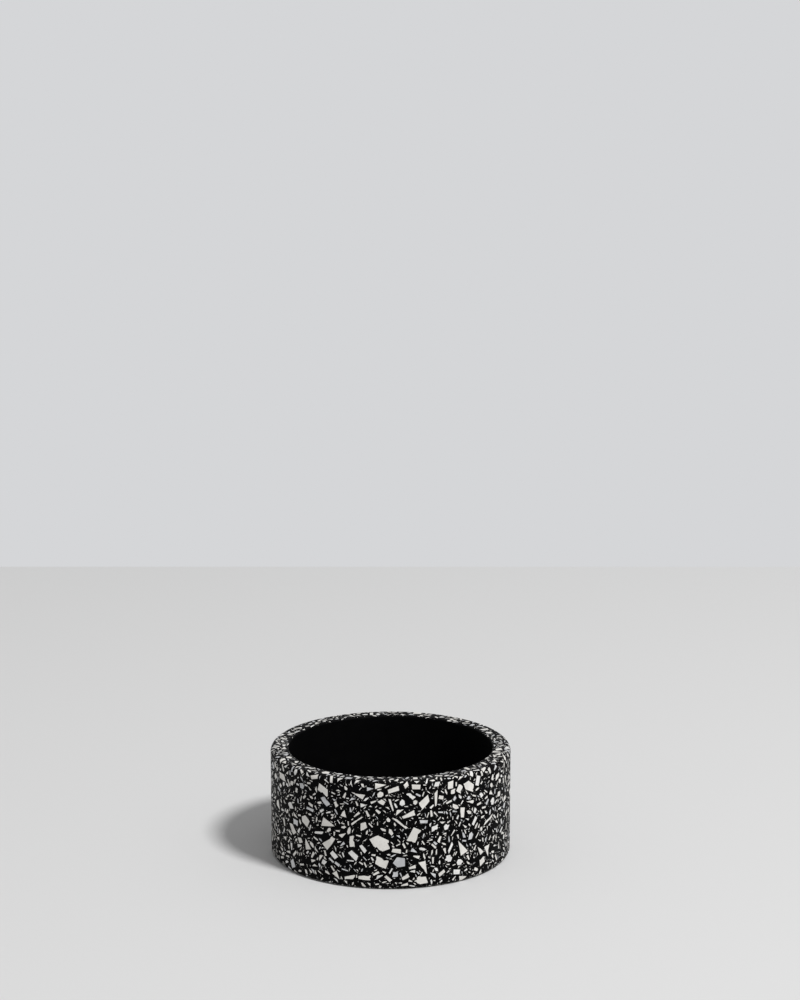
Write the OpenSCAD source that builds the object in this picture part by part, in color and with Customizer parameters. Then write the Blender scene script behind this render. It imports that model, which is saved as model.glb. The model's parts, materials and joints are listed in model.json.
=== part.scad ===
// Round terrazzo coaster: a black cement cup, ground flush with the marble chips set in it,
// that stands on a cork pad. The front faces -Y, and the origin is on the table, on the cup's axis.

/* [Cup] */
// Diameter of the bore
bore_d = 90; // [78:1:110]
// Thickness of the wall round the bore
wall_t = 8; // [7:0.25:12]
// Height from the underside of the cup to its rim
cup_h = 47.6; // [42:0.2:60]
// Thickness of the floor
floor_t = 9; // [7:0.5:14]
// Rounding of the rim's outer edge
rim_r = 2; // [1:0.25:3]
// Rounding of the rim's inner edge
lip_r = 1; // [0.5:0.25:1.5]
// Rounding of the foot's edge
foot_r = 1.5; // [0.5:0.25:2]
// Rounding between the bore and the floor
floor_r = 3; // [1:0.5:5]

/* [Chips] */
// Length of the largest chips
large_len = 10; // [8:0.5:11]
// Length of a coarse chip
coarse_len = 6; // [5:0.25:7]
// Length of a medium chip
medium_len = 4; // [3:0.25:5]
// Length of a fine chip
fine_len = 2.8; // [2.4:0.1:3]
// Depth to which a chip is set in the cement
chip_depth = 2.2; // [1.6:0.1:3]
// Least cement between two chips
chip_gap = 0.4; // [0.3:0.05:0.8]
// Least cement between a chip and the bore or the recess of the pad
chip_cover = 0.8; // [0.5:0.1:1.5]
// Least distance between a chip's centre and an edge that the chip runs over
edge_stand = 1; // [0.8:0.1:2]
// Seed of the strewn chips
chip_seed = 11; // [1:1:99]

/* [Pad] */
// Width of the ground ring round the recess of the pad
foot_w = 9.5; // [8:0.25:14]
// Thickness of the cork pad
pad_t = 2; // [1.5:0.25:3]
// Height by which the pad stands proud of the cup's underside
pad_proud = 0.4; // [0.2:0.1:1]
// Gap between the pad and the side of its recess
pad_gap = 0.5; // [0.2:0.1:1]
// Rounding of the pad's lower edge
pad_edge_r = 0.3; // [0.1:0.1:0.6]
// Thickness of the adhesive film
film_t = 0.2; // [0.1:0.05:0.5]

/* [Hidden] */

// Length by which a cut runs past the surface
overrun = 1;
// Sides drawn on a full turn of the cup
turn_fn = 240;
bore_r = bore_d / 2;
cup_r = bore_r + wall_t;
recess_r = cup_r - foot_w;
pad_r = recess_r - pad_gap;
recess_h = pad_t + film_t - pad_proud;
base_z = pad_proud;
rim_z = base_z + cup_h;
floor_z = base_z + floor_t;
least_r = min(bore_r, recess_r);

cement_colour = [0.07, 0.07, 0.075];
cream_colour = [0.88, 0.86, 0.81];
white_colour = [0.90, 0.90, 0.89];
grey_colour = [0.68, 0.69, 0.72];
cork_colour = [0.70, 0.52, 0.34];
film_colour = [0.85, 0.84, 0.78];

// Outlines of chips, counter-clockwise, as shares of half a chip's length and half its width
wedge_shares = [[-1, -0.9], [1, -0.2], [-0.8, 1]];
fang_shares = [[-1, -1], [1, 0.8], [-0.5, 1]];
bar_shares = [[-1, -0.9], [0.9, -1], [1, 1], [-0.9, 0.8]];
block_shares = [[-0.9, -0.8], [0.9, -1], [1, 0.7], [-1, 1]];
skew_shares = [[-1, -1], [0.5, -0.9], [1, 0.9], [-0.6, 1]];
taper_shares = [[-1, -1], [1, -0.5], [0.9, 0.4], [-0.9, 1]];
shard_shares = [[-1, -0.2], [-0.3, -1], [1, -0.6], [0.6, 0.9], [-0.5, 1]];
cobble_shares = [[-1, 0], [-0.3, -0.8], [0.5, -1], [1, -0.1], [0.6, 1], [-0.4, 1]];
outlines = [
  wedge_shares, fang_shares, bar_shares, block_shares,
  skew_shares, taper_shares, shard_shares, cobble_shares
];

// Chips that stand out on the front of the wall: turn from the front in degrees, height as a share
// of the cup's, length as a share of the largest chip's, width as a share of the length,
// tilt in degrees, outline and stone
front_chip_shares = [
  [-5, 0.43, 1, 0.58, -25, cobble_shares, "cream"],
  [11, 0.5, 0.65, 0.65, 68, block_shares, "cream"],
  [-4, 0.25, 0.55, 0.8, -15, block_shares, "cream"],
  [4.5, 0.25, 0.6, 0.75, -5, shard_shares, "grey"],
  [16, 0.8, 0.65, 0.5, 42, skew_shares, "cream"],
  [-30, 0.57, 0.65, 0.8, -8, wedge_shares, "cream"],
  [-43.5, 0.54, 0.55, 0.75, -45, shard_shares, "cream"],
  [-32.5, 0.87, 0.6, 0.6, -22, block_shares, "cream"],
  [-29.5, 0.39, 0.7, 0.55, 50, taper_shares, "cream"],
  [-43, 0.33, 0.65, 0.5, 118, wedge_shares, "cream"],
  [-15, 0.87, 0.6, 0.4, 165, wedge_shares, "cream"],
  [14.5, 0.07, 0.6, 0.6, -5, shard_shares, "cream"],
  [16, 0.19, 0.65, 0.5, -65, wedge_shares, "cream"],
  [28, 0.24, 0.36, 0.9, 10, cobble_shares, "white"],
  [35, 0.32, 0.75, 0.55, 122, wedge_shares, "cream"],
  [46.5, 0.25, 0.6, 0.4, 128, wedge_shares, "cream"],
  [52.5, 0.21, 0.55, 0.7, -75, wedge_shares, "cream"],
  [39.5, 0.88, 0.7, 0.55, -35, shard_shares, "cream"],
  [21.5, 0.83, 0.75, 0.2, -90, taper_shares, "cream"],
  [8.5, 0.69, 0.58, 0.4, 202, taper_shares, "cream"],
  [-19, 0.09, 0.5, 0.35, 10, bar_shares, "cream"],
  [-12, 0.1, 0.55, 0.4, 2, bar_shares, "cream"],
  [-17, 0.3, 0.5, 0.5, -42, bar_shares, "white"],
  [-18, 0.43, 0.5, 0.5, -80, block_shares, "cream"],
  [-66.5, 0.56, 0.8, 0.6, -30, wedge_shares, "cream"],
  [-53, 0.42, 0.55, 0.5, -52, bar_shares, "cream"],
  [-25.5, 0.09, 0.4, 0.65, -45, wedge_shares, "cream"],
  [35.5, 0.65, 0.46, 0.5, 85, bar_shares, "cream"],
  [40.5, 0.73, 0.5, 0.4, 170, wedge_shares, "cream"],
  [1.5, 0.93, 0.5, 0.4, 18, bar_shares, "cream"],
  [9.5, 0.87, 0.4, 0.4, -40, bar_shares, "white"],
  [-4.5, 0.97, 0.5, 0.5, 13, wedge_shares, "cream"],
  [12, 0.95, 0.38, 0.6, 0, block_shares, "cream"],
  [4.5, 0.62, 0.8, 0.12, -40, bar_shares, "cream"],
  [-15.5, 0.63, 0.65, 0.14, 38, taper_shares, "cream"],
  [-31.5, 0.77, 0.46, 0.55, -50, bar_shares, "grey"],
  [-22, 0.69, 0.38, 0.7, 90, wedge_shares, "cream"],
  [29, 0.93, 0.34, 0.85, -85, block_shares, "cream"],
  [34, 0.88, 0.45, 0.6, 65, skew_shares, "cream"],
  [45, 0.91, 0.45, 0.55, 75, bar_shares, "white"],
  [3, 0.36, 0.42, 0.45, -10, bar_shares, "cream"],
  [7, 0.32, 0.42, 0.4, 12, bar_shares, "white"],
  [6.5, 0.43, 0.36, 0.7, 50, wedge_shares, "grey"],
  [11.5, 0.35, 0.4, 0.55, -15, wedge_shares, "grey"],
  [21, 0.55, 0.38, 0.55, 20, skew_shares, "white"],
  [0.5, 0.79, 0.58, 0.18, -72, taper_shares, "cream"],
  [5.5, 0.81, 0.3, 0.75, -90, cobble_shares, "white"],
  [-12.5, 0.37, 0.4, 0.45, -56, bar_shares, "white"],
  [-27, 0.28, 0.36, 0.75, -46, block_shares, "white"],
  [53, 0.5, 0.75, 0.16, 20, bar_shares, "cream"],
  [43, 0.54, 0.4, 0.4, 55, bar_shares, "white"],
  [-62.5, 0.86, 0.6, 0.55, 5, block_shares, "cream"],
  [-54.5, 0.63, 0.4, 0.75, -56, skew_shares, "white"],
  [-40.5, 0.66, 0.42, 0.3, -9, bar_shares, "grey"],
  [-22.5, 0.48, 0.36, 0.6, 40, wedge_shares, "cream"],
  [-35.5, 0.46, 0.52, 0.22, 8, bar_shares, "white"],
  [-25, 0.44, 0.44, 0.35, 68, bar_shares, "grey"],
  [29, 0.34, 0.5, 0.24, 62, bar_shares, "white"],
  [32.5, 0.1, 0.34, 0.7, -5, block_shares, "white"],
  [29, 0.125, 0.36, 0.55, 27, bar_shares, "white"],
  [24.5, 0.115, 0.34, 0.5, 30, bar_shares, "cream"],
  [36, 0.03, 0.4, 0.85, 17, wedge_shares, "cream"],
  [7, 0.11, 0.34, 0.5, 31, bar_shares, "cream"],
  [-1, 0.1, 0.34, 0.4, -44, bar_shares, "cream"],
  [-5, 0.12, 0.36, 0.5, 26, wedge_shares, "white"],
  [53.5, 0.11, 0.42, 0.7, 67, bar_shares, "cream"],
  [-53, 0.08, 0.36, 0.9, -54, block_shares, "grey"],
  [-54, 0.34, 0.46, 0.5, 44, bar_shares, "white"],
  [-50.5, 0.49, 0.32, 0.9, 0, block_shares, "grey"]
];

// Turn from the front past which the coarse chips are strewn instead of placed
front_turn = 70;
// Share of the chips that are white and share that are grey; the rest are cream
white_share = 0.2;
grey_share = 0.16;
// Smallest length of a strewn chip as a share of its grade's
least_len_share = 0.7;
// Slimmest and broadest width of a strewn chip as a share of its length
slimmest_share = 0.3;
broadest_share = 0.85;
// Tries at strewing a chip, as a share of the area over a square of the chip's length
coarse_tries_share = 0.12;
medium_tries_share = 0.16;
fine_tries_share = 0.19;
rim_medium_tries_share = 0.9;
rim_fine_tries_share = 0.6;
foot_tries_share = 0.45;
// Random draws behind one strewn chip
draws = 7;

// A chip is its grade and stone, its turn from the front, its height or radius, its outline about
// its centre, and the turn that it and its gap take up on either side at the least radius in use
function chip(kind, turn, place, outline) =
  [kind, turn, place, outline, (reach(outline) + chip_gap) / least_r * 180 / PI];

function reach(outline) = max([for (p = outline) norm(p)]);

function outline_of(shape, len, slim, tilt) =
  [for (p = shape) let (x = p.x * len / 2, y = p.y * len * slim / 2)
    [x * cos(tilt) - y * sin(tilt), x * sin(tilt) + y * cos(tilt)]];

function stone(draw) = draw < grey_share ? "grey" : draw < grey_share + white_share ? "white" : "cream";

function mix(low, high, draw) = low + (high - low) * draw;

function front_chips() =
  [for (s = front_chip_shares)
    chip(
      str("coarse_", s[6]), s[0], base_z + s[1] * cup_h,
      outline_of(s[5], s[2] * large_len, s[3], s[4])
    )];

// Chips of one grade, thrown between two turns and two heights or radii
function thrown(grade, len, tries, seed, turns, places) =
  let (d = rands(0, 1, tries * draws, chip_seed + seed))
  [for (i = [0:tries - 1]) let (k = i * draws)
    chip(
      str(grade, stone(d[k])),
      mix(turns[0], turns[1], d[k + 1]),
      mix(places[0], places[1], d[k + 2]),
      outline_of(
        outlines[floor(d[k + 3] * len(outlines))],
        len * mix(least_len_share, 1, d[k + 4]),
        mix(slimmest_share, broadest_share, d[k + 5]),
        360 * d[k + 6]
      )
    )];

// The widest gap between two outlines, b moved by a shift, across an edge of a
function gap_across(a, b, shift) =
  max([for (i = [0:len(a) - 1])
    let (p = a[i], e = a[(i + 1) % len(a)] - p, n = [e.y, -e.x] / norm(e))
    min([for (q = b) (q + shift - p) * n])]);

function turn_between(a, b) = (b[1] - a[1] + 540) % 360 - 180;

// Shift between two chips on the wall, laid flat
function wall_shift(a, b) = [turn_between(a, b) * PI / 180 * cup_r, b[2] - a[2]];

// Shift between two chips on the rim or the foot, seen along the first one's radius
function ring_shift(a, b) =
  let (t = turn_between(a, b)) [b[2] * cos(t) - a[2], b[2] * sin(t)];

function turned(outline, t) =
  [for (p = outline) [p.x * cos(t) - p.y * sin(t), p.x * sin(t) + p.y * cos(t)]];

function clear_of(a, b, shift, need) =
  gap_across(a, b, shift) > need || gap_across(b, a, -shift) > need;

// Straight chips lean towards each other inside the curved wall, so their gap widens with their shift
function apart_on_wall(a, b) =
  let (s = wall_shift(a, b)) clear_of(a[3], b[3], s, chip_gap + chip_depth * abs(s.x) / cup_r);

function apart_on_ring(a, b) =
  clear_of(a[3], turned(b[3], turn_between(a, b)), ring_shift(a, b), chip_gap);

function lowest(c, axis) = min([for (p = c[3]) p[axis]]);
function highest(c, axis) = max([for (p = c[3]) p[axis]]);

function near(a, b) = abs(turn_between(a, b)) < a[4] + b[4];

function apart_at_edge(ring_chip, wall_chip) =
  !near(ring_chip, wall_chip) || ring_chip[2] + highest(ring_chip, 0) + chip_gap < cup_r - chip_depth;

// Chips kept one after another where they are clear of those kept before
function strewn_on_wall(tries, kept, i = 0) =
  i == len(tries) ? kept
  : let (c = tries[i], blockers = [for (k = kept) if (near(c, k) && !apart_on_wall(c, k)) 1])
    strewn_on_wall(tries, len(blockers) == 0 ? concat(kept, [c]) : kept, i + 1);

function strewn_on_ring(tries, inner_r, edge_chips, kept, i = 0) =
  i == len(tries) ? kept
  : let (
      c = tries[i],
      inside = c[2] + lowest(c, 0) < inner_r,
      blockers = inside ? [1] : concat(
        [for (k = kept) if (near(c, k) && !apart_on_ring(c, k)) 1],
        [for (k = edge_chips) if (!apart_at_edge(c, k)) 1]
      )
    )
    strewn_on_ring(
      tries, inner_r, edge_chips, len(blockers) == 0 ? concat(kept, [c]) : kept, i + 1
    );

wall_area = 2 * PI * cup_r * cup_h;
wall_places = [base_z + edge_stand, rim_z - edge_stand];
all_round = [-180, 180];
back_turns = [front_turn, 360 - front_turn];

function tries_on(area, len, share) = round(area / (len * len) * share);

coarse_tries = tries_on(wall_area, coarse_len, coarse_tries_share);
medium_tries = tries_on(wall_area, medium_len, medium_tries_share);
fine_tries = tries_on(wall_area, fine_len, fine_tries_share);
coarse_chips = strewn_on_wall(
  thrown("coarse_", coarse_len, coarse_tries, 1, back_turns, wall_places),
  strewn_on_wall(front_chips(), [])
);
medium_chips = strewn_on_wall(
  thrown("medium_", medium_len, medium_tries, 2, all_round, wall_places),
  coarse_chips
);
wall_chips = strewn_on_wall(
  thrown("fine_", fine_len, fine_tries, 3, all_round, wall_places),
  medium_chips
);

rim_area = PI * (cup_r * cup_r - bore_r * bore_r);
rim_inner_r = bore_r + chip_cover;
rim_places = [rim_inner_r, cup_r - edge_stand];
rim_medium_tries = tries_on(rim_area, medium_len, rim_medium_tries_share);
rim_fine_tries = tries_on(rim_area, fine_len, rim_fine_tries_share);
top_chips = [for (c = wall_chips) if (c[2] + highest(c, 1) + chip_gap > rim_z - chip_depth) c];
rim_medium_chips = strewn_on_ring(
  thrown("", medium_len, rim_medium_tries, 4, all_round, rim_places),
  rim_inner_r, top_chips, []
);
rim_chips = strewn_on_ring(
  thrown("", fine_len, rim_fine_tries, 5, all_round, rim_places),
  rim_inner_r, top_chips, rim_medium_chips
);

foot_area = PI * (cup_r * cup_r - recess_r * recess_r);
foot_inner_r = recess_r + chip_cover;
foot_places = [foot_inner_r, cup_r - edge_stand];
foot_tries = tries_on(foot_area, medium_len, foot_tries_share);
bottom_chips = [for (c = wall_chips) if (c[2] + lowest(c, 1) - chip_gap < base_z + chip_depth) c];
foot_chips = strewn_on_ring(
  thrown("", medium_len, foot_tries, 6, all_round, foot_places),
  foot_inner_r, bottom_chips, []
);

// Solid inside the outer surfaces, without the bore and the recess
module blank() {
  rotate_extrude($fn = turn_fn)
    translate([0, base_z]) {
      square([cup_r - rim_r, cup_h]);
      square([cup_r - foot_r, cup_h - rim_r]);
      translate([0, foot_r]) square([cup_r, cup_h - foot_r - rim_r]);
      translate([cup_r - rim_r, cup_h - rim_r]) circle(rim_r, $fn = turn_fn);
      translate([cup_r - foot_r, foot_r]) circle(foot_r, $fn = turn_fn);
    }
}

// Space of the bore, rounded out to the rim and in to the floor
module bore_space() {
  rotate_extrude($fn = turn_fn) {
    translate([0, floor_z + floor_r]) square([bore_r, cup_h]);
    translate([0, floor_z]) square([bore_r - floor_r, cup_h]);
    translate([bore_r - floor_r, floor_z + floor_r]) circle(floor_r, $fn = turn_fn);
    difference() {
      translate([0, rim_z - lip_r]) square([bore_r + lip_r, lip_r + overrun]);
      translate([bore_r + lip_r, rim_z - lip_r]) circle(lip_r, $fn = turn_fn);
    }
  }
}

// One chip, left long past the surface that it is ground to
module wall_chip(c) {
  rotate(c[1] - 90)
    translate([cup_r - chip_depth, 0, c[2]])
      rotate([90, 0, 90])
        linear_extrude(chip_depth + overrun)
          polygon(c[3]);
}

module ring_chip(c, low) {
  rotate(c[1] - 90)
    translate([c[2], 0, low])
      linear_extrude(chip_depth + overrun)
        polygon(c[3]);
}

module rim_chip(c) {
  ring_chip(c, rim_z - chip_depth);
}

module foot_chip(c) {
  ring_chip(c, base_z - overrun);
}

module cement_cup() {
  color(cement_colour)
    difference() {
      blank();
      bore_space();
      translate([0, 0, base_z - overrun]) cylinder(r = recess_r, h = recess_h + overrun, $fn = turn_fn);
      for (c = wall_chips) wall_chip(c);
      for (c = rim_chips) rim_chip(c);
      for (c = foot_chips) foot_chip(c);
    }
}

// Chips of one stone and grade, ground flush with the cup
module ground_wall_chips(kind) {
  intersection() {
    blank();
    for (c = wall_chips) if (c[0] == kind) wall_chip(c);
  }
}

module ground_rim_chips(kind) {
  intersection() {
    blank();
    for (c = rim_chips) if (c[0] == kind) rim_chip(c);
  }
}

module ground_foot_chips(kind) {
  intersection() {
    blank();
    for (c = foot_chips) if (c[0] == kind) foot_chip(c);
  }
}

module wall_coarse_cream_chips() { color(cream_colour) ground_wall_chips("coarse_cream"); }
module wall_coarse_white_chips() { color(white_colour) ground_wall_chips("coarse_white"); }
module wall_coarse_grey_chips() { color(grey_colour) ground_wall_chips("coarse_grey"); }
module wall_medium_cream_chips() { color(cream_colour) ground_wall_chips("medium_cream"); }
module wall_medium_white_chips() { color(white_colour) ground_wall_chips("medium_white"); }
module wall_medium_grey_chips() { color(grey_colour) ground_wall_chips("medium_grey"); }
module wall_fine_cream_chips() { color(cream_colour) ground_wall_chips("fine_cream"); }
module wall_fine_white_chips() { color(white_colour) ground_wall_chips("fine_white"); }
module wall_fine_grey_chips() { color(grey_colour) ground_wall_chips("fine_grey"); }
module rim_cream_chips() { color(cream_colour) ground_rim_chips("cream"); }
module rim_white_chips() { color(white_colour) ground_rim_chips("white"); }
module rim_grey_chips() { color(grey_colour) ground_rim_chips("grey"); }
module foot_cream_chips() { color(cream_colour) ground_foot_chips("cream"); }
module foot_white_chips() { color(white_colour) ground_foot_chips("white"); }
module foot_grey_chips() { color(grey_colour) ground_foot_chips("grey"); }

module cork_pad() {
  color(cork_colour)
    rotate_extrude($fn = turn_fn) {
      square([pad_r - pad_edge_r, pad_t]);
      translate([0, pad_edge_r]) square([pad_r, pad_t - pad_edge_r]);
      translate([pad_r - pad_edge_r, pad_edge_r]) circle(pad_edge_r, $fn = turn_fn);
    }
}

module adhesive_film() {
  color(film_colour)
    translate([0, 0, pad_t]) cylinder(r = pad_r, h = film_t, $fn = turn_fn);
}

cement_cup();
wall_coarse_cream_chips();
wall_coarse_white_chips();
wall_coarse_grey_chips();
wall_medium_cream_chips();
wall_medium_white_chips();
wall_medium_grey_chips();
wall_fine_cream_chips();
wall_fine_white_chips();
wall_fine_grey_chips();
rim_cream_chips();
rim_white_chips();
rim_grey_chips();
foot_cream_chips();
foot_white_chips();
foot_grey_chips();
cork_pad();
adhesive_film();
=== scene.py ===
"""Looks of a round terrazzo coaster: black cement, ground flush with its marble chips and grit."""
import json
import math
import random

import bpy
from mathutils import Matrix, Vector
from mathutils.bvhtree import BVHTree


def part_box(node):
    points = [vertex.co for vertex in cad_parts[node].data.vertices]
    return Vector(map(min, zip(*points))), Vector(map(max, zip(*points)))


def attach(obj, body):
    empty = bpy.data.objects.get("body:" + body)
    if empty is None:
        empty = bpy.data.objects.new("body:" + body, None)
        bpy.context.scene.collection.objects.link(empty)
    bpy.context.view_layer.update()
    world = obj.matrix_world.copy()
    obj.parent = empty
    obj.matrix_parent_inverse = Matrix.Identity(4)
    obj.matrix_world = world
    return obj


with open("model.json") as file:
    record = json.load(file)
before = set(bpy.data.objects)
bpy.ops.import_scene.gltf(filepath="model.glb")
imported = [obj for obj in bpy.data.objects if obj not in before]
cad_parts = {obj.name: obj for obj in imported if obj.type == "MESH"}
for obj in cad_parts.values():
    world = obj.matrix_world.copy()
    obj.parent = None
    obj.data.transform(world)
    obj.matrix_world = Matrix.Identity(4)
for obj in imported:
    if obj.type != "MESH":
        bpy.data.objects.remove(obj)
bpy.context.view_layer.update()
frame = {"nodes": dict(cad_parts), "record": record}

MM = 0.001

# Sizes of the cup, read from the frame where it has them and otherwise repeated from the part's source
cup_low, cup_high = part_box("cement_cup")
WALL_R = cup_high.x
RIM_Z = cup_high.z
FOOT_Z = cup_low.z
BORE_R = next(m["dims"]["r_mm"] for m in frame["record"]["mounts"] if m["kind"] == "bore") * MM
FLOOR_Z = max(m["pos_m"][2] for m in frame["record"]["mounts"] if m["kind"] == "flat_face")
PAD_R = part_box("cork_pad")[1].x
RIM_ROUND = 2 * MM
FOOT_ROUND = 1.5 * MM
LIP_ROUND = 1 * MM
RECESS_GAP = 0.5 * MM
# Grit keeps this far from the edge of the recess
FOOT_EDGE = 0.6 * MM
# The grinding goes over the lip by this turn of its rounding, and the bore is as cast from there
LIP_TURN = math.radians(60)
LIP_END = BORE_R + LIP_ROUND * (1 - math.sin(LIP_TURN))
# Within the bore, the cement is as cast from this depth below the floor's face upwards
CAST_DEPTH = 1 * MM

# Camera of the photograph: place, pitch in degrees, focal length in picture heights, sensor in millimetres
CAMERA_PLACE = (4.15 * MM, -1118.7 * MM, 397.6 * MM)
CAMERA_PITCH = 12.057
FOCAL_HEIGHTS = 2.6405
SENSOR = 36

# Stage: the floor's reach in front and to the sides, and its reach behind, where the backdrop starts
FLOOR_REACH = 4.0
FLOOR_BACK = 0.537
FLOOR_COLOUR = (0.74, 0.74, 0.74, 1)
BACKDROP_COLOUR = (0.665, 0.672, 0.687, 1)
# Light: the key's turn to the right and rise in degrees, its distance, size and power, and the sky's
# strength
KEY_TURN = 46
KEY_RISE = 52
KEY_DISTANCE = 4.0
KEY_SIZE = 0.8
KEY_POWER = 125
SKY_STRENGTH = 0.345

# Grit: grades of splinters that the frame leaves out, as longest length, shortest length, tries and gap
RIM_GRADE = (3.6 * MM, 2.4 * MM, 700, 0.35 * MM)
GRIT_GRADES = [
    (3.2 * MM, 2.2 * MM, 1700, 0.38 * MM),
    (2.2 * MM, 1.4 * MM, 3200, 0.34 * MM),
    (1.4 * MM, 0.8 * MM, 3400, 0.30 * MM),
    (0.8 * MM, 0.45 * MM, 3000, 0.25 * MM),
]
# Width of a splinter as a share of its length
GRIT_SLIM_SHARES = (0.22, 0.6)
GRIT_SEED = 5
# Splinters shaped from a circle of few sides: sides, turn in degrees, squeeze and slant of one end
GRIT_SHAPES = [
    (3, 0, 1.0, 0.2),
    (4, 45, 0.6, 0.2),
    (4, 45, 0.35, 0.1),
    (4, 45, 1.0, 0.4),
    (4, 45, 0.85, -0.2),
    (5, 0, 0.7, 0.0),
    (5, 0, 0.5, 0.3),
]
# The end of a unit circle that is squeezed and slanted starts here
END_START = 0.1
# Size of the cells in which splinters are looked up, larger than the longest of them
CELL = 4 * MM
# Share of each stone among the splinters
STONE_SHARES = {"cream": 0.62, "white": 0.2, "grey": 0.18}

# Laps of cement over the wall's chips, which make their outlines uneven.
# Slants: the share of corners, and the reaches along the two sides there as shares of them
SLANT_SHARE = 0.28
SLANT_LONG_SHARES = (0.55, 1.0)
SLANT_SHORT_SHARES = (0.1, 0.26)
# Notches: the share of the other sides, their two ends as shares of a side, and their depth as a share
# of the reach from the chip's middle to its sides
NOTCH_SHARE = 0.35
NOTCH_END_SHARES = ((0.0, 0.4), (0.6, 1.0))
NOTCH_DEPTH_SHARES = (0.1, 0.3)
# Reach of a lap past the chip's outline
LAP_PAST = 0.1 * MM
LAP_SEED = 3
# Corners of a mesh that round to the same step are one
WELD = 0.002 * MM
# A point this near a straight side of an outline is no corner
STRAIGHT = 0.04 * MM
# A corner of a chip this near the wall's radius lies on its ground face
ON_FACE = 0.02 * MM

# Grit and laps: height over the face, depth below it, and about the width of their rings of faces on a
# rounding and on the wall
SET_PROUD = 0.02 * MM
SET_DEPTH = 0.30 * MM
ROUND_STEP = 0.5 * MM
WALL_STEP = 1.6 * MM

# Linear colours of the finishes
CEMENT_DARK = (0.001, 0.001, 0.0011, 1)
CEMENT_PALE = (0.0032, 0.0032, 0.0034, 1)
DUST_DARK = (0.02, 0.02, 0.02, 1)
DUST_PALE = (0.42, 0.41, 0.39, 1)
PORE_DARK = (0.002, 0.002, 0.002, 1)
CORK_DARK = (0.22, 0.10, 0.04, 1)
CORK_PALE = (0.52, 0.32, 0.16, 1)
CORK_GRAIN = (0.40, 0.22, 0.10, 1)
CORK_SEAM = (0.10, 0.05, 0.02, 1)
ADHESIVE_DARK = (0.60, 0.57, 0.46, 1)
ADHESIVE_PALE = (0.74, 0.72, 0.62, 1)
# Range that holds most values of a noise, and a narrower one for clearer clouds
NOISE_RANGE = (0.3, 0.7)
CLOUD_RANGE = (0.34, 0.66)
# Roughness where a noise is low and where it is high, and that of the cement as cast
MARBLE_ROUGH = (0.42, 0.30)
CEMENT_ROUGH = (0.45, 0.58)
CORK_ROUGH = (0.75, 0.9)
ADHESIVE_ROUGH = (0.25, 0.45)
CAST_ROUGH = 0.62
# Pits of the marble: the range of the noise they lie in, and how far they darken the stone
PIT_RANGE = (0.30, 0.46)
PIT_SHADES = (0.86, 1.0)
# Specks: the smallest and largest as shares of their size, and the share of a speck within its soft edge
SPECK_SHARES = (0.5, 1.2)
SPECK_CORE = 0.75
# Reach of the dark seams in cork from a granule's edge, as a share of its size
CORK_SEAM_SHARE = 0.09
# Inputs and output of a Mix node for each kind of value: first, second and result
MIX_SOCKETS = {"FLOAT": (2, 3, 0), "VECTOR": (4, 5, 1), "RGBA": (6, 7, 2)}


def deselect():
    """Nothing is selected, so that the next operator acts on its own piece alone."""
    if bpy.context.mode != "OBJECT":
        bpy.ops.object.mode_set(mode="OBJECT")
    bpy.ops.object.select_all(action="DESELECT")


def add_object(name, data):
    """A new object in the scene."""
    made = bpy.data.objects.new(name, data)
    bpy.context.scene.collection.objects.link(made)
    return made


# Nodes


def put(tree, kind, values=None, **settings):
    """A new node with its settings and the values of its unlinked inputs."""
    made = tree.nodes.new(kind)
    for name, value in settings.items():
        setattr(made, name, value)
    for name, value in (values or {}).items():
        made.inputs[name].default_value = value
    return made


def join(tree, source, target):
    """A link between two sockets."""
    tree.links.new(source, target)


def feed(tree, values, slots):
    """Sets numbers and colours on inputs, and joins sockets to them."""
    for value, slot in zip(values, slots):
        if isinstance(value, (int, float, tuple)):
            slot.default_value = value
        else:
            join(tree, value, slot)


def calc(tree, operation, first, second):
    """A Math node on sockets or numbers, and its output."""
    made = put(tree, "ShaderNodeMath", operation=operation)
    feed(tree, (first, second), made.inputs)
    return made.outputs[0]


def calc_vector(tree, operation, *vectors):
    """A Vector Math node on sockets."""
    made = put(tree, "ShaderNodeVectorMath", operation=operation)
    feed(tree, vectors, made.inputs)
    return made


def mix(tree, kind, factor, first, second, **settings):
    """A Mix node on numbers, vectors or colours, given as sockets or values, and its output."""
    made = put(tree, "ShaderNodeMix", data_type=kind, **settings)
    at_first, at_second, at_result = MIX_SOCKETS[kind]
    feed(tree, (factor, first, second), (made.inputs[i] for i in (0, at_first, at_second)))
    return made.outputs[at_result]


def span(tree, value, low, high, to_low=0.0, to_high=1.0):
    """A Map Range node with a smooth step, and its output."""
    made = put(tree, "ShaderNodeMapRange", interpolation_type="SMOOTHSTEP")
    feed(tree, (value, low, high, to_low, to_high), made.inputs)
    return made.outputs[0]


def noise(tree, place, **values):
    """A Noise Texture at a place, with its scale, detail and roughness, and its output."""
    made = put(tree, "ShaderNodeTexNoise")
    join(tree, place, made.inputs["Vector"])
    feed(tree, values.values(), (made.inputs[label.title()] for label in values))
    return made.outputs[0]


def new_group(name, inputs, outputs):
    """A shader node group with named sockets: inputs as name, type and value; outputs as name and type."""
    tree = bpy.data.node_groups.new(name, "ShaderNodeTree")
    for label, kind, value in inputs:
        made = tree.interface.new_socket(name=label, in_out="INPUT", socket_type=kind)
        made.default_value = value
    for label, kind in outputs:
        tree.interface.new_socket(name=label, in_out="OUTPUT", socket_type=kind)
    return tree, put(tree, "NodeGroupInput"), put(tree, "NodeGroupOutput")


def use_group(tree, group, **values):
    """A group placed in a material, with its own values."""
    made = put(tree, "ShaderNodeGroup", node_tree=group)
    for label, value in values.items():
        made.inputs[label.replace("_", " ").title()].default_value = value
    return made


def new_material(name):
    """A new material, its node tree and its Principled BSDF."""
    made = bpy.data.materials.new(name)
    made.use_nodes = True
    return made, made.node_tree, made.node_tree.nodes["Principled BSDF"]


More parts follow.
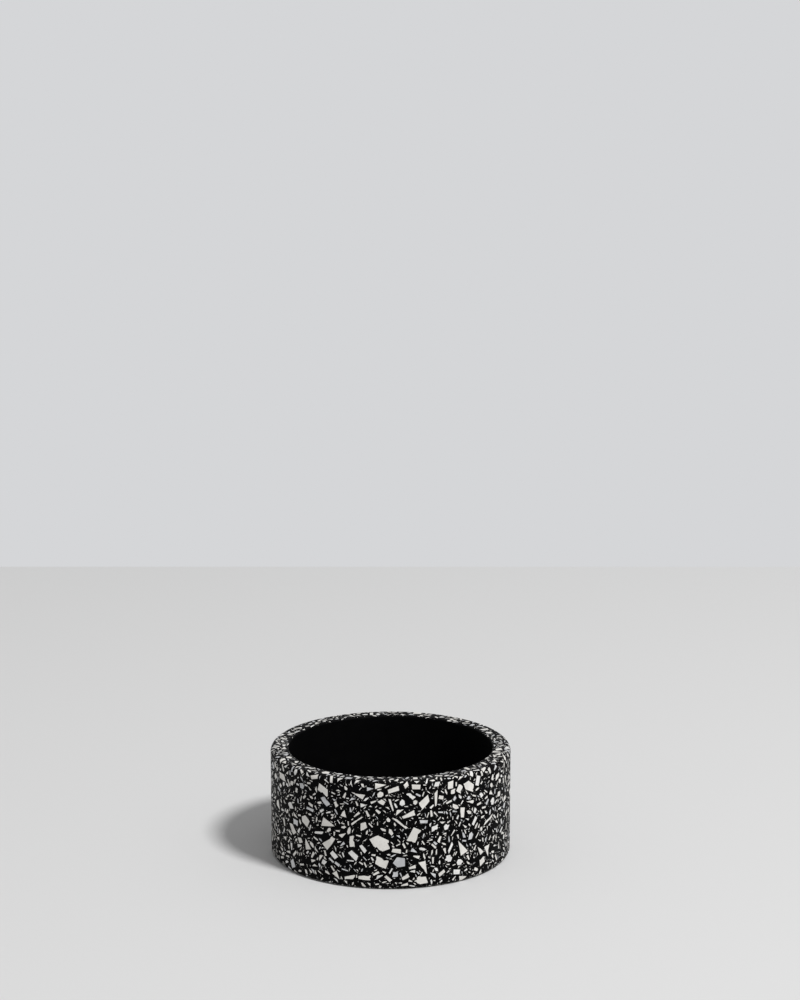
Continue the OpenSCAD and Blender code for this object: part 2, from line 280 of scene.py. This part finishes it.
def object_place(tree):
    """Object coordinates, their flat part, their height and their distance from the cup's axis."""
    place = put(tree, "ShaderNodeTexCoord").outputs["Object"]
    parts = put(tree, "ShaderNodeSeparateXYZ")
    join(tree, place, parts.inputs[0])
    flat = put(tree, "ShaderNodeCombineXYZ")
    join(tree, parts.outputs[0], flat.inputs[0])
    join(tree, parts.outputs[1], flat.inputs[1])
    length = calc_vector(tree, "LENGTH", flat.outputs[0])
    return place, flat.outputs[0], parts.outputs[2], length.outputs["Value"]


# Node groups


def make_ground_face():
    """Group: the smooth normal of the ground outside of the cup, round its edges."""
    tree, given, result = new_group(
        "ground_face",
        [
            ("Wall Radius", "NodeSocketFloat", WALL_R),
            ("Rim Height", "NodeSocketFloat", RIM_Z),
            ("Foot Height", "NodeSocketFloat", FOOT_Z),
            ("Lip Radius", "NodeSocketFloat", BORE_R + LIP_ROUND),
            ("Rim Rounding", "NodeSocketFloat", RIM_ROUND),
            ("Foot Rounding", "NodeSocketFloat", FOOT_ROUND),
            ("Lip Rounding", "NodeSocketFloat", LIP_ROUND),
        ],
        [("Normal", "NodeSocketVector")],
    )
    wall, rim, foot, lip, rim_round, foot_round, lip_round = given.outputs[:7]
    _, flat, height, radius = object_place(tree)
    within = calc(tree, "MAXIMUM", calc(tree, "SUBTRACT", lip, radius), 0)
    at_rim = calc(tree, "GREATER_THAN", height, calc(tree, "SUBTRACT", rim, lip_round))
    inside = calc(tree, "DIVIDE", calc(tree, "MULTIPLY", within, at_rim), lip_round)
    upper = mix(tree, "FLOAT", calc(tree, "GREATER_THAN", inside, 0), rim_round, lip_round)
    above = calc(tree, "SUBTRACT", height, calc(tree, "SUBTRACT", rim, upper))
    below = calc(tree, "SUBTRACT", calc(tree, "ADD", foot, foot_round), height)
    top = calc(tree, "DIVIDE", calc(tree, "MAXIMUM", above, 0), upper)
    bottom = calc(tree, "DIVIDE", calc(tree, "MAXIMUM", below, 0), foot_round)
    rounding = mix(tree, "FLOAT", calc(tree, "GREATER_THAN", bottom, 0), rim_round, foot_round)
    out = calc(tree, "SUBTRACT", radius, calc(tree, "SUBTRACT", wall, rounding))
    side = calc(tree, "DIVIDE", calc(tree, "MAXIMUM", out, 0), rounding)
    outward = calc_vector(tree, "NORMALIZE", flat)
    across = calc_vector(tree, "SCALE", outward.outputs[0])
    join(tree, calc(tree, "SUBTRACT", side, inside), across.inputs["Scale"])
    upright = put(tree, "ShaderNodeCombineXYZ")
    join(tree, calc(tree, "SUBTRACT", top, bottom), upright.inputs["Z"])
    total = calc_vector(tree, "ADD", across.outputs[0], upright.outputs[0])
    unit = calc_vector(tree, "NORMALIZE", total.outputs[0])
    join(tree, unit.outputs[0], result.inputs["Normal"])
    return tree


def make_specks():
    """Group: scattered specks in three dimensions, with a mask and a random tone for each speck."""
    tree, given, result = new_group(
        "specks",
        [
            ("Spacing", "NodeSocketFloat", 1 * MM),
            ("Size", "NodeSocketFloat", 0.3),
            ("Share", "NodeSocketFloat", 0.5),
        ],
        [("Mask", "NodeSocketFloat"), ("Tone", "NodeSocketFloat")],
    )
    place = put(tree, "ShaderNodeTexCoord").outputs["Object"]
    cells = put(tree, "ShaderNodeTexVoronoi", feature="F1")
    join(tree, place, cells.inputs["Vector"])
    join(tree, calc(tree, "DIVIDE", 1, given.outputs["Spacing"]), cells.inputs["Scale"])
    draws = put(tree, "ShaderNodeSeparateColor")
    join(tree, cells.outputs["Color"], draws.inputs[0])
    uneven = span(tree, draws.outputs[1], 0, 1, *SPECK_SHARES)
    reach = calc(tree, "MULTIPLY", given.outputs["Size"], uneven)
    inside = span(tree, cells.outputs["Distance"], reach, calc(tree, "MULTIPLY", reach, SPECK_CORE))
    there = calc(tree, "LESS_THAN", draws.outputs[0], given.outputs["Share"])
    join(tree, calc(tree, "MULTIPLY", inside, there), result.inputs["Mask"])
    join(tree, draws.outputs[2], result.inputs["Tone"])
    return tree


def make_marble_tone():
    """Group: the cloudy tone of marble, with fine pits, as a colour, a roughness and a height."""
    tree, given, result = new_group(
        "marble_tone",
        [
            ("Light", "NodeSocketColor", (0.8, 0.8, 0.8, 1)),
            ("Shade", "NodeSocketColor", (0.6, 0.6, 0.6, 1)),
            ("Cloud Size", "NodeSocketFloat", 5 * MM),
        ],
        [("Colour", "NodeSocketColor"), ("Roughness", "NodeSocketFloat"), ("Height", "NodeSocketFloat")],
    )
    place = put(tree, "ShaderNodeTexCoord").outputs["Object"]
    cloud_scale = calc(tree, "DIVIDE", 1, given.outputs["Cloud Size"])
    cloud = noise(tree, place, scale=cloud_scale, detail=3, roughness=0.55)
    grain = noise(tree, place, scale=2600, detail=2)
    tone = span(tree, cloud, *CLOUD_RANGE)
    colour = mix(tree, "RGBA", tone, given.outputs["Shade"], given.outputs["Light"])
    pits = span(tree, grain, *PIT_RANGE, *PIT_SHADES)
    join(tree, mix(tree, "RGBA", 1.0, colour, pits, blend_type="MULTIPLY"), result.inputs["Colour"])
    join(tree, span(tree, grain, *NOISE_RANGE, *MARBLE_ROUGH), result.inputs["Roughness"])
    join(tree, grain, result.inputs["Height"])
    return tree


GROUND_FACE = make_ground_face()
SPECKS = make_specks()
MARBLE_TONE = make_marble_tone()


# Finishes


def relief(tree, shader, height, normal, distance, strength):
    """A bump on top of a normal, joined to the shader."""
    bump = put(tree, "ShaderNodeBump", {"Strength": strength, "Distance": distance})
    join(tree, height, bump.inputs["Height"])
    join(tree, normal, bump.inputs["Normal"])
    join(tree, bump.outputs[0], shader.inputs["Normal"])


def marble(name, light, shade, cloud_size):
    """Honed marble, as the chips and the grit show it on the ground face."""
    made, tree, shader = new_material(name)
    tone = use_group(tree, MARBLE_TONE, light=light, shade=shade, cloud_size=cloud_size)
    face = use_group(tree, GROUND_FACE)
    join(tree, tone.outputs["Colour"], shader.inputs["Base Color"])
    join(tree, tone.outputs["Roughness"], shader.inputs["Roughness"])
    shader.inputs["Specular IOR Level"].default_value = 0.35
    relief(tree, shader, tone.outputs["Height"], face.outputs[0], distance=0.01 * MM, strength=0.3)
    return made


def cement():
    """Black cement: honed outside, with stone dust and pores, and as cast inside the bore."""
    made, tree, shader = new_material("black_cement")
    place, _, height, radius = object_place(tree)
    in_bore = calc(tree, "LESS_THAN", radius, LIP_END)
    over_floor = calc(tree, "GREATER_THAN", height, FLOOR_Z - CAST_DEPTH)
    cast = calc(tree, "MULTIPLY", in_bore, over_floor)
    ground = calc(tree, "SUBTRACT", 1, cast)
    mottle = noise(tree, place, scale=160, detail=5, roughness=0.6)
    black = mix(tree, "RGBA", mottle, CEMENT_DARK, CEMENT_PALE)
    dust = use_group(tree, SPECKS, spacing=0.55 * MM, size=0.28, share=0.12)
    dust_tone = mix(tree, "RGBA", dust.outputs["Tone"], DUST_DARK, DUST_PALE)
    dusty = calc(tree, "MULTIPLY", dust.outputs["Mask"], ground)
    speckled = mix(tree, "RGBA", dusty, black, dust_tone)
    pores = use_group(tree, SPECKS, spacing=3.2 * MM, size=0.10, share=0.6)
    colour = mix(tree, "RGBA", pores.outputs["Mask"], speckled, PORE_DARK)
    join(tree, colour, shader.inputs["Base Color"])
    honed_rough = span(tree, mottle, *NOISE_RANGE, *CEMENT_ROUGH)
    join(tree, mix(tree, "FLOAT", cast, honed_rough, CAST_ROUGH), shader.inputs["Roughness"])
    shader.inputs["Specular IOR Level"].default_value = 0.025
    face = use_group(tree, GROUND_FACE)
    true_normal = put(tree, "ShaderNodeNewGeometry").outputs["Normal"]
    normal = mix(tree, "VECTOR", cast, face.outputs[0], true_normal)
    pitted = calc(tree, "SUBTRACT", mottle, pores.outputs["Mask"])
    relief(tree, shader, pitted, normal, distance=0.05 * MM, strength=0.25)
    return made


def cork():
    """Pressed cork: granules of several browns with dark seams."""
    made, tree, shader = new_material("pressed_cork")
    place = put(tree, "ShaderNodeTexCoord").outputs["Object"]
    granules = {"Scale": 620}
    cells = put(tree, "ShaderNodeTexVoronoi", granules, feature="F1")
    seams = put(tree, "ShaderNodeTexVoronoi", granules, feature="DISTANCE_TO_EDGE")
    for texture in (cells, seams):
        join(tree, place, texture.inputs["Vector"])
    grain = noise(tree, place, scale=2400, detail=3)
    draws = put(tree, "ShaderNodeSeparateColor")
    join(tree, cells.outputs["Color"], draws.inputs[0])
    brown = mix(tree, "RGBA", draws.outputs[0], CORK_DARK, CORK_PALE)
    grained = mix(tree, "RGBA", grain, brown, CORK_GRAIN)
    off_seam = span(tree, seams.outputs["Distance"], 0.0, CORK_SEAM_SHARE)
    join(tree, mix(tree, "RGBA", off_seam, CORK_SEAM, grained), shader.inputs["Base Color"])
    join(tree, span(tree, grain, *NOISE_RANGE, *CORK_ROUGH), shader.inputs["Roughness"])
    true_normal = put(tree, "ShaderNodeNewGeometry").outputs["Normal"]
    height = calc(tree, "ADD", off_seam, grain)
    relief(tree, shader, height, true_normal, distance=0.15 * MM, strength=0.5)
    return made


def adhesive():
    """Clear adhesive, faintly clouded where it was rolled on."""
    made, tree, shader = new_material("adhesive")
    place = put(tree, "ShaderNodeTexCoord").outputs["Object"]
    cloud = noise(tree, place, scale=300, detail=2)
    join(tree, mix(tree, "RGBA", cloud, ADHESIVE_DARK, ADHESIVE_PALE), shader.inputs["Base Color"])
    join(tree, span(tree, cloud, *NOISE_RANGE, *ADHESIVE_ROUGH), shader.inputs["Roughness"])
    return made


MARBLES = {
    "cream": marble("cream_marble", (0.795, 0.777, 0.738, 1), (0.675, 0.657, 0.622, 1), 6 * MM),
    "white": marble("white_marble", (0.83, 0.82, 0.80, 1), (0.70, 0.695, 0.68, 1), 5 * MM),
    "grey": marble("grey_marble", (0.66, 0.665, 0.675, 1), (0.48, 0.485, 0.50, 1), 5 * MM),
}
FINISHES = {"cement_cup": cement(), "cork_pad": cork(), "adhesive_film": adhesive()}


def finish_node(name, node):
    """The finish of a CAD node: a chip node's name holds its stone."""
    stone = next((s for s in MARBLES if f"_{s}_" in name), None)
    node.data.materials.clear()
    node.data.materials.append(MARBLES[stone] if stone else FINISHES[name])


for node_name, node_object in frame["nodes"].items():
    finish_node(node_name, node_object)


# Ground face


class Profile:
    """The ground outline of the cup, from the recess over the foot, up the wall, over the rim and lip."""

    def __init__(self):
        foot_in = PAD_R + RECESS_GAP + FOOT_EDGE
        quarter = math.pi / 2
        self.runs = [
            WALL_R - FOOT_ROUND - foot_in,
            FOOT_ROUND * quarter,
            RIM_Z - RIM_ROUND - FOOT_Z - FOOT_ROUND,
            RIM_ROUND * quarter,
            WALL_R - RIM_ROUND - BORE_R - LIP_ROUND,
            LIP_ROUND * LIP_TURN,
        ]
        self.foot_in = foot_in
        self.rim_start = sum(self.runs[:3])
        self.lip_start = sum(self.runs[:5])
        self.length = sum(self.runs)

    def at(self, way):
        """Radius, height and the two parts of the outward normal at a way along the outline."""
        foot, foot_arc, wall, rim_arc, rim, _ = self.runs
        if way < foot:
            return self.foot_in + way, FOOT_Z, 0.0, -1.0
        way -= foot
        if way < foot_arc:
            turn = way / FOOT_ROUND
            out, up = math.sin(turn), -math.cos(turn)
            return WALL_R - FOOT_ROUND + FOOT_ROUND * out, FOOT_Z + FOOT_ROUND + FOOT_ROUND * up, out, up
        way -= foot_arc
        if way < wall:
            return WALL_R, FOOT_Z + FOOT_ROUND + way, 1.0, 0.0
        way -= wall
        if way < rim_arc:
            turn = way / RIM_ROUND
            out, up = math.cos(turn), math.sin(turn)
            return WALL_R - RIM_ROUND + RIM_ROUND * out, RIM_Z - RIM_ROUND + RIM_ROUND * up, out, up
        way -= rim_arc
        if way < rim:
            return WALL_R - RIM_ROUND - way, RIM_Z, 0.0, 1.0
        turn = (way - rim) / LIP_ROUND
        out, up = -math.sin(turn), math.cos(turn)
        return BORE_R + LIP_ROUND + LIP_ROUND * out, RIM_Z - LIP_ROUND + LIP_ROUND * up, out, up

    def near_rounding(self, way, reach):
        """Whether a piece of some reach, at a way along the outline, comes to one of the three roundings."""
        foot, foot_arc, _, rim_arc, _, _ = self.runs
        on_foot = foot - reach < way < foot + foot_arc + reach
        on_rim = self.rim_start - reach < way < self.rim_start + rim_arc + reach
        on_lip = way > self.lip_start - reach
        return on_foot or on_rim or on_lip

    def point(self, turn, way, lift):
        """A point in the frame at a turn about the axis, lifted off the face."""
        radius, height, out, up = self.at(way)
        radius += lift * out
        return Vector((radius * math.sin(turn), -radius * math.cos(turn), height + lift * up))


# Grit


def grit_shapes():
    """A few splinters of unit reach, each shaped from a circle: their corners, counter-clockwise."""
    shapes = []
    for sides, turn, squeeze, slant in GRIT_SHAPES:
        deselect()
        turned = (0, 0, math.radians(turn))
        bpy.ops.mesh.primitive_circle_add(vertices=sides, fill_type="NGON", rotation=turned)
        bpy.ops.object.transform_apply(location=False, rotation=True, scale=False)
        shape = bpy.context.object
        bpy.ops.object.mode_set(mode="EDIT")
        bpy.ops.mesh.select_all(action="DESELECT")
        bpy.ops.object.mode_set(mode="OBJECT")
        for vertex in shape.data.vertices:
            vertex.select = vertex.co.x > END_START
        bpy.ops.object.mode_set(mode="EDIT")
        bpy.ops.transform.resize(value=(1, squeeze, 1))
        bpy.ops.transform.translate(value=(0, slant, 0))
        bpy.ops.object.mode_set(mode="OBJECT")
        corners = [shape.data.vertices[i].co for i in shape.data.polygons[0].vertices]
        long_reach = max(abs(c.x) for c in corners)
        wide_reach = max(abs(c.y) for c in corners)
        shapes.append([(c.x / long_reach, c.y / wide_reach) for c in corners])
        bpy.data.objects.remove(shape)
    return shapes


def chip_faces():
    """The chips of the frame as one search tree."""
    corners, faces = [], []
    for name, node in frame["nodes"].items():
        if not name.endswith("_chips"):
            continue
        start = len(corners)
        corners += [v.co.copy() for v in node.data.vertices]
        faces += [[start + i for i in p.vertices] for p in node.data.polygons]
    return BVHTree.FromPolygons(corners, faces)


def sides_of(outline):
    """The sides of an outline, each as its two ends."""
    return zip(outline, outline[1:] + outline[:1])


def turn_between(first, second):
    """The turn from one angle to another, the short way round."""
    return (second - first + math.pi) % math.tau - math.pi


def divided(outline, parts):
    """An outline with each of its sides divided into equal parts."""
    return [
        (a[0] + (b[0] - a[0]) * k / parts, a[1] + (b[1] - a[1]) * k / parts)
        for a, b in sides_of(outline)
        for k in range(parts)
    ]


def gap_across(first, second, shift):
    """The widest gap between two outlines, the second moved by a shift, across a side of the first."""
    gaps = []
    for (x, y), (next_x, next_y) in sides_of(first):
        length = math.hypot(next_x - x, next_y - y)
        out_x, out_y = (next_y - y) / length, (x - next_x) / length
        gaps.append(min((u + shift[0] - x) * out_x + (v + shift[1] - y) * out_y for u, v in second))
    return max(gaps)


class Strewing:
    """Splinters laid on the ground face one by one, clear of the chips and of those before them."""

    def __init__(self, profile):
        self.profile = profile
        self.chips = chip_faces()
        self.columns = int(math.tau * WALL_R / CELL)
        self.taken = {}
        self.splinters = []

    def cell(self, turn, way):
        """The column and row of a place."""
        return int((turn + math.pi) / math.tau * self.columns), int(way / CELL)

    def clear_of_chips(self, turn, way, outline, gap):
        """Whether an outline keeps its gap from every chip of the frame."""
        radius = self.profile.at(way)[0]
        for x, y in [(0, 0)] + divided(outline, 2):
            at = min(max(way + y, 0), self.profile.length)
            near = self.chips.find_nearest(self.profile.point(turn + x / radius, at, 0), gap)
            if near[0] is not None:
                return False
        return True

    def clear_of_splinters(self, turn, way, outline, gap):
        """Whether an outline keeps its gap from the splinters laid before."""
        radius = self.profile.at(way)[0]
        column, row = self.cell(turn, way)
        near = [((column + i) % self.columns, row + j) for i in (-1, 0, 1) for j in (-1, 0, 1)]
        for other_turn, other_way, other in (laid for cell in near for laid in self.taken.get(cell, ())):
            shift = (turn_between(turn, other_turn) * radius, other_way - way)
            back = (-shift[0], -shift[1])
            if max(gap_across(outline, other, shift), gap_across(other, outline, back)) < gap:
                return False
        return True

    def lay(self, stone, turn, way, outline, gap):
        """Lays a splinter where it is clear."""
        ends = [y for _, y in outline]
        if way + min(ends) < 0 or way + max(ends) > self.profile.length:
            return
        if not self.clear_of_splinters(turn, way, outline, gap):
            return
        if not self.clear_of_chips(turn, way, outline, gap):
            return
        self.taken.setdefault(self.cell(turn, way), []).append((turn, way, outline))
        self.splinters.append((stone, turn, way, outline))


def strew_grade(strewing, draw, shapes, grade, first_way):
    """Splinters of one grade, thrown at the face from a way along the outline to its end."""
    longest, shortest, tries, gap = grade
    for _ in range(tries):
        turn = draw.uniform(-math.pi, math.pi)
        way = draw.uniform(first_way, strewing.profile.length)
        length = draw.uniform(shortest, longest)
        width = length * draw.uniform(*GRIT_SLIM_SHARES)
        tilt = draw.uniform(0, math.tau)
        shape = draw.choice(shapes)
        stone = draw.choices(list(STONE_SHARES), list(STONE_SHARES.values()))[0]
        if draw.random() > strewing.profile.at(way)[0] / WALL_R:
            continue
        c, s = math.cos(tilt), math.sin(tilt)
        scaled = [(x * length / 2, y * width / 2) for x, y in shape]
        outline = [(x * c - y * s, x * s + y * c) for x, y in scaled]
        strewing.lay(stone, turn, way, outline, gap)


def strew_grit(profile):
    """Splinters all over the ground face, larger ones first: stone, place and outline of each."""
    strewing = Strewing(profile)
    draw = random.Random(GRIT_SEED)
    shapes = grit_shapes()
    strew_grade(strewing, draw, shapes, RIM_GRADE, profile.rim_start)
    for grade in GRIT_GRADES:
        strew_grade(strewing, draw, shapes, grade, 0)
    return strewing.splinters


# Laps


def chips_of(node):
    """The chips of a node, each as the places of its mesh's corners."""
    leader = {}

    def lead(place):
        while leader[place] != place:
            place = leader[place]
        return place

    places = [tuple(round(c / WELD) for c in v.co) for v in node.data.vertices]
    for place in places:
        leader[place] = place
    for face in node.data.polygons:
        first, *others = [places[i] for i in face.vertices]
        for other in others:
            leader[lead(other)] = lead(first)
    chips = {}
    for place in leader:
        chips.setdefault(lead(place), []).append([c * WELD for c in place])
    return list(chips.values())


def hull(points):
    """The convex outline of points in a plane, counter-clockwise, without those along its sides."""
    outline = []
    ordered = sorted(points)
    for run in (ordered, ordered[::-1]):
        half = []
        for x, y in run:
            while len(half) > 1:
                (ax, ay), (bx, by) = half[-2:]
                off = (bx - ax) * (y - ay) - (by - ay) * (x - ax)
                if off > STRAIGHT * math.hypot(x - ax, y - ay):
                    break
                half.pop()
            half.append((x, y))
        outline += half[:-1]
    return outline


def wall_outline(profile, corners):
    """Turn, way and outline of a chip's ground face, or None where it isn't all on the upright wall."""
    heights = [z for _, _, z in corners]
    if min(heights) < FOOT_Z + FOOT_ROUND or max(heights) > RIM_Z - RIM_ROUND:
        return None
    face = [c for c in corners if math.hypot(c[0], c[1]) > WALL_R - ON_FACE]
    if not face:
        return None
    middle = sum((Vector(c) for c in face), Vector()) / len(face)
    turn = math.atan2(middle.x, -middle.y)
    way = profile.rim_start - (RIM_Z - RIM_ROUND - middle.z)
    points = []
    for x, y, z in face:
        points.append((turn_between(turn, math.atan2(x, -y)) * WALL_R, z - middle.z))
    return turn, way, hull(points)


def inner_reach(outline):
    """The reach from the middle of an outline to its sides."""
    sides = list(sides_of(outline))
    twice_area = sum(x * next_y - next_x * y for (x, y), (next_x, next_y) in sides)
    return twice_area / sum(math.dist(a, b) for a, b in sides)


def laps_on(outline, draw):
    """Triangles that cut an outline at a slant or notch its sides, each reaching a little past it."""
    reach = inner_reach(outline)
    laps = []
    for before, corner, after in zip(outline[-1:] + outline[:-1], outline, outline[1:] + outline[:1]):
        back, at, ahead = Vector(before), Vector(corner), Vector(after)
        in_way, out_way = (at - back).normalized(), (ahead - at).normalized()
        in_past = LAP_PAST * Vector((in_way.y, -in_way.x))
        out_past = LAP_PAST * Vector((out_way.y, -out_way.x))
        slant = [draw.uniform(*SLANT_LONG_SHARES), draw.uniform(*SLANT_SHORT_SHARES)]
        draw.shuffle(slant)
        first, last = [draw.uniform(*ends) for ends in NOTCH_END_SHARES]
        deepest = draw.uniform(first, last)
        depth = reach * draw.uniform(*NOTCH_DEPTH_SHARES)
        if draw.random() < SLANT_SHARE:
            laps.append([
                at + in_past + out_past,
                at.lerp(ahead, slant[0]) + out_past,
                at.lerp(back, slant[1]) + in_past,
            ])
        elif draw.random() < NOTCH_SHARE:
            laps.append([
                at.lerp(ahead, first) + out_past,
                at.lerp(ahead, last) + out_past,
                at.lerp(ahead, deepest) - out_past * (depth / LAP_PAST),
            ])
    return laps


def lay_laps(profile):
    """Laps over the chips of the upright wall: turn, way and outline of each."""
    draw = random.Random(LAP_SEED)
    laid = []
    for name, node in frame["nodes"].items():
        if not name.startswith("wall_"):
            continue
        for corners in chips_of(node):
            found = wall_outline(profile, corners)
            if found is None:
                continue
            turn, way, outline = found
            for lap in laps_on(outline, draw):
                middle = sum(lap, Vector((0, 0))) / len(lap)
                around = [tuple(p - middle) for p in lap]
                laid.append((turn + middle.x / WALL_R, way + middle.y, around))
    return laid


# Pieces set in the ground face


def set_in_face(name, finish, profile, places):
    """One mesh of closed low prisms in the face, their tops just proud of it and curved with it."""
    corners, faces = [], []
    for turn, way, outline in places:
        radius = profile.at(way)[0]
        reach = max(math.hypot(*p) for p in outline)
        step = ROUND_STEP if profile.near_rounding(way, reach) else WALL_STEP
        rings = max(1, round(reach / step))
        edge = divided(outline, rings)
        count = len(edge)
        start = len(corners)
        corners.append(profile.point(turn, way, SET_PROUD))
        for ring in range(1, rings + 1):
            share = ring / rings
            circuit = [(x * share, y * share) for x, y in edge]
            corners += [profile.point(turn + x / radius, way + y, SET_PROUD) for x, y in circuit]
        corners += [profile.point(turn + x / radius, way + y, -SET_DEPTH) for x, y in edge]
        for i in range(count):
            j = (i + 1) % count
            faces.append([start, start + 1 + i, start + 1 + j])
            for ring in range(rings):
                inner = start + 1 + ring * count
                outer = inner + count
                faces.append([inner + i, outer + i, outer + j, inner + j])
        faces.append([start + 1 + rings * count + i for i in reversed(range(count))])
    mesh = bpy.data.meshes.new(name)
    mesh.from_pydata(corners, [], faces)
    mesh.materials.append(finish)
    piece = add_object(name, mesh)
    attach(piece, "root")


outline_of_cup = Profile()
all_splinters = strew_grit(outline_of_cup)
for stone_name in STONE_SHARES:
    set_in_face(
        f"{stone_name}_grit",
        MARBLES[stone_name],
        outline_of_cup,
        [s[1:] for s in all_splinters if s[0] == stone_name],
    )
set_in_face("cement_laps", FINISHES["cement_cup"], outline_of_cup, lay_laps(outline_of_cup))


# Stage, light and camera


def make_floor():
    """A plain pale floor that ends behind the object, where the backdrop starts."""
    deselect()
    depth = FLOOR_REACH + FLOOR_BACK
    bpy.ops.mesh.primitive_plane_add(size=1, location=(0, FLOOR_BACK - depth / 2, 0))
    floor = bpy.context.object
    floor.name = "floor"
    floor.scale = (2 * FLOOR_REACH, depth, 1)
    bpy.ops.object.transform_apply(location=True, rotation=True, scale=True)
    made, _, shader = new_material("pale_floor")
    shader.inputs["Base Color"].default_value = FLOOR_COLOUR
    shader.inputs["Roughness"].default_value = 0.8
    shader.inputs["Specular IOR Level"].default_value = 0.2
    floor.data.materials.append(made)


def make_sky():
    """Even light all round, which the camera and reflections see as a pale backdrop."""
    world = bpy.data.worlds.new("studio")
    bpy.context.scene.world = world
    world.use_nodes = True
    tree = world.node_tree
    light = tree.nodes["Background"]
    light.inputs["Color"].default_value = (1, 1, 1, 1)
    light.inputs["Strength"].default_value = SKY_STRENGTH
    seen = put(tree, "ShaderNodeBackground", {"Color": BACKDROP_COLOUR, "Strength": 1.0})
    path = put(tree, "ShaderNodeLightPath")
    shown = calc(tree, "MAXIMUM", path.outputs["Is Camera Ray"], path.outputs["Is Transmission Ray"])
    shown = calc(tree, "MAXIMUM", shown, path.outputs["Is Glossy Ray"])
    blend = put(tree, "ShaderNodeMixShader")
    feed(tree, (shown, light.outputs[0], seen.outputs[0]), blend.inputs)
    join(tree, blend.outputs[0], tree.nodes["World Output"].inputs["Surface"])


def make_key():
    """The key light, soft, from the front right and above."""
    turn, rise = math.radians(KEY_TURN), math.radians(KEY_RISE)
    aim = Vector((0, 0, RIM_Z / 2))
    way = Vector((math.sin(turn) * math.cos(rise), -math.cos(turn) * math.cos(rise), math.sin(rise)))
    lamp = bpy.data.lights.new("key", "AREA")
    lamp.shape = "DISK"
    lamp.size = KEY_SIZE
    lamp.energy = KEY_POWER
    key = add_object("key", lamp)
    key.location = aim + way * KEY_DISTANCE
    key.rotation_euler = way.to_track_quat("Z", "Y").to_euler()


def make_camera():
    """The photograph's camera."""
    data = bpy.data.cameras.new("camera")
    data.sensor_width = SENSOR
    data.lens = FOCAL_HEIGHTS * SENSOR
    camera = add_object("camera", data)
    camera.location = CAMERA_PLACE
    camera.rotation_euler = (math.radians(90 - CAMERA_PITCH), 0, 0)
    bpy.context.scene.camera = camera


make_floor()
make_sky()
make_key()
make_camera()
bpy.context.scene.view_settings.view_transform = "Standard"
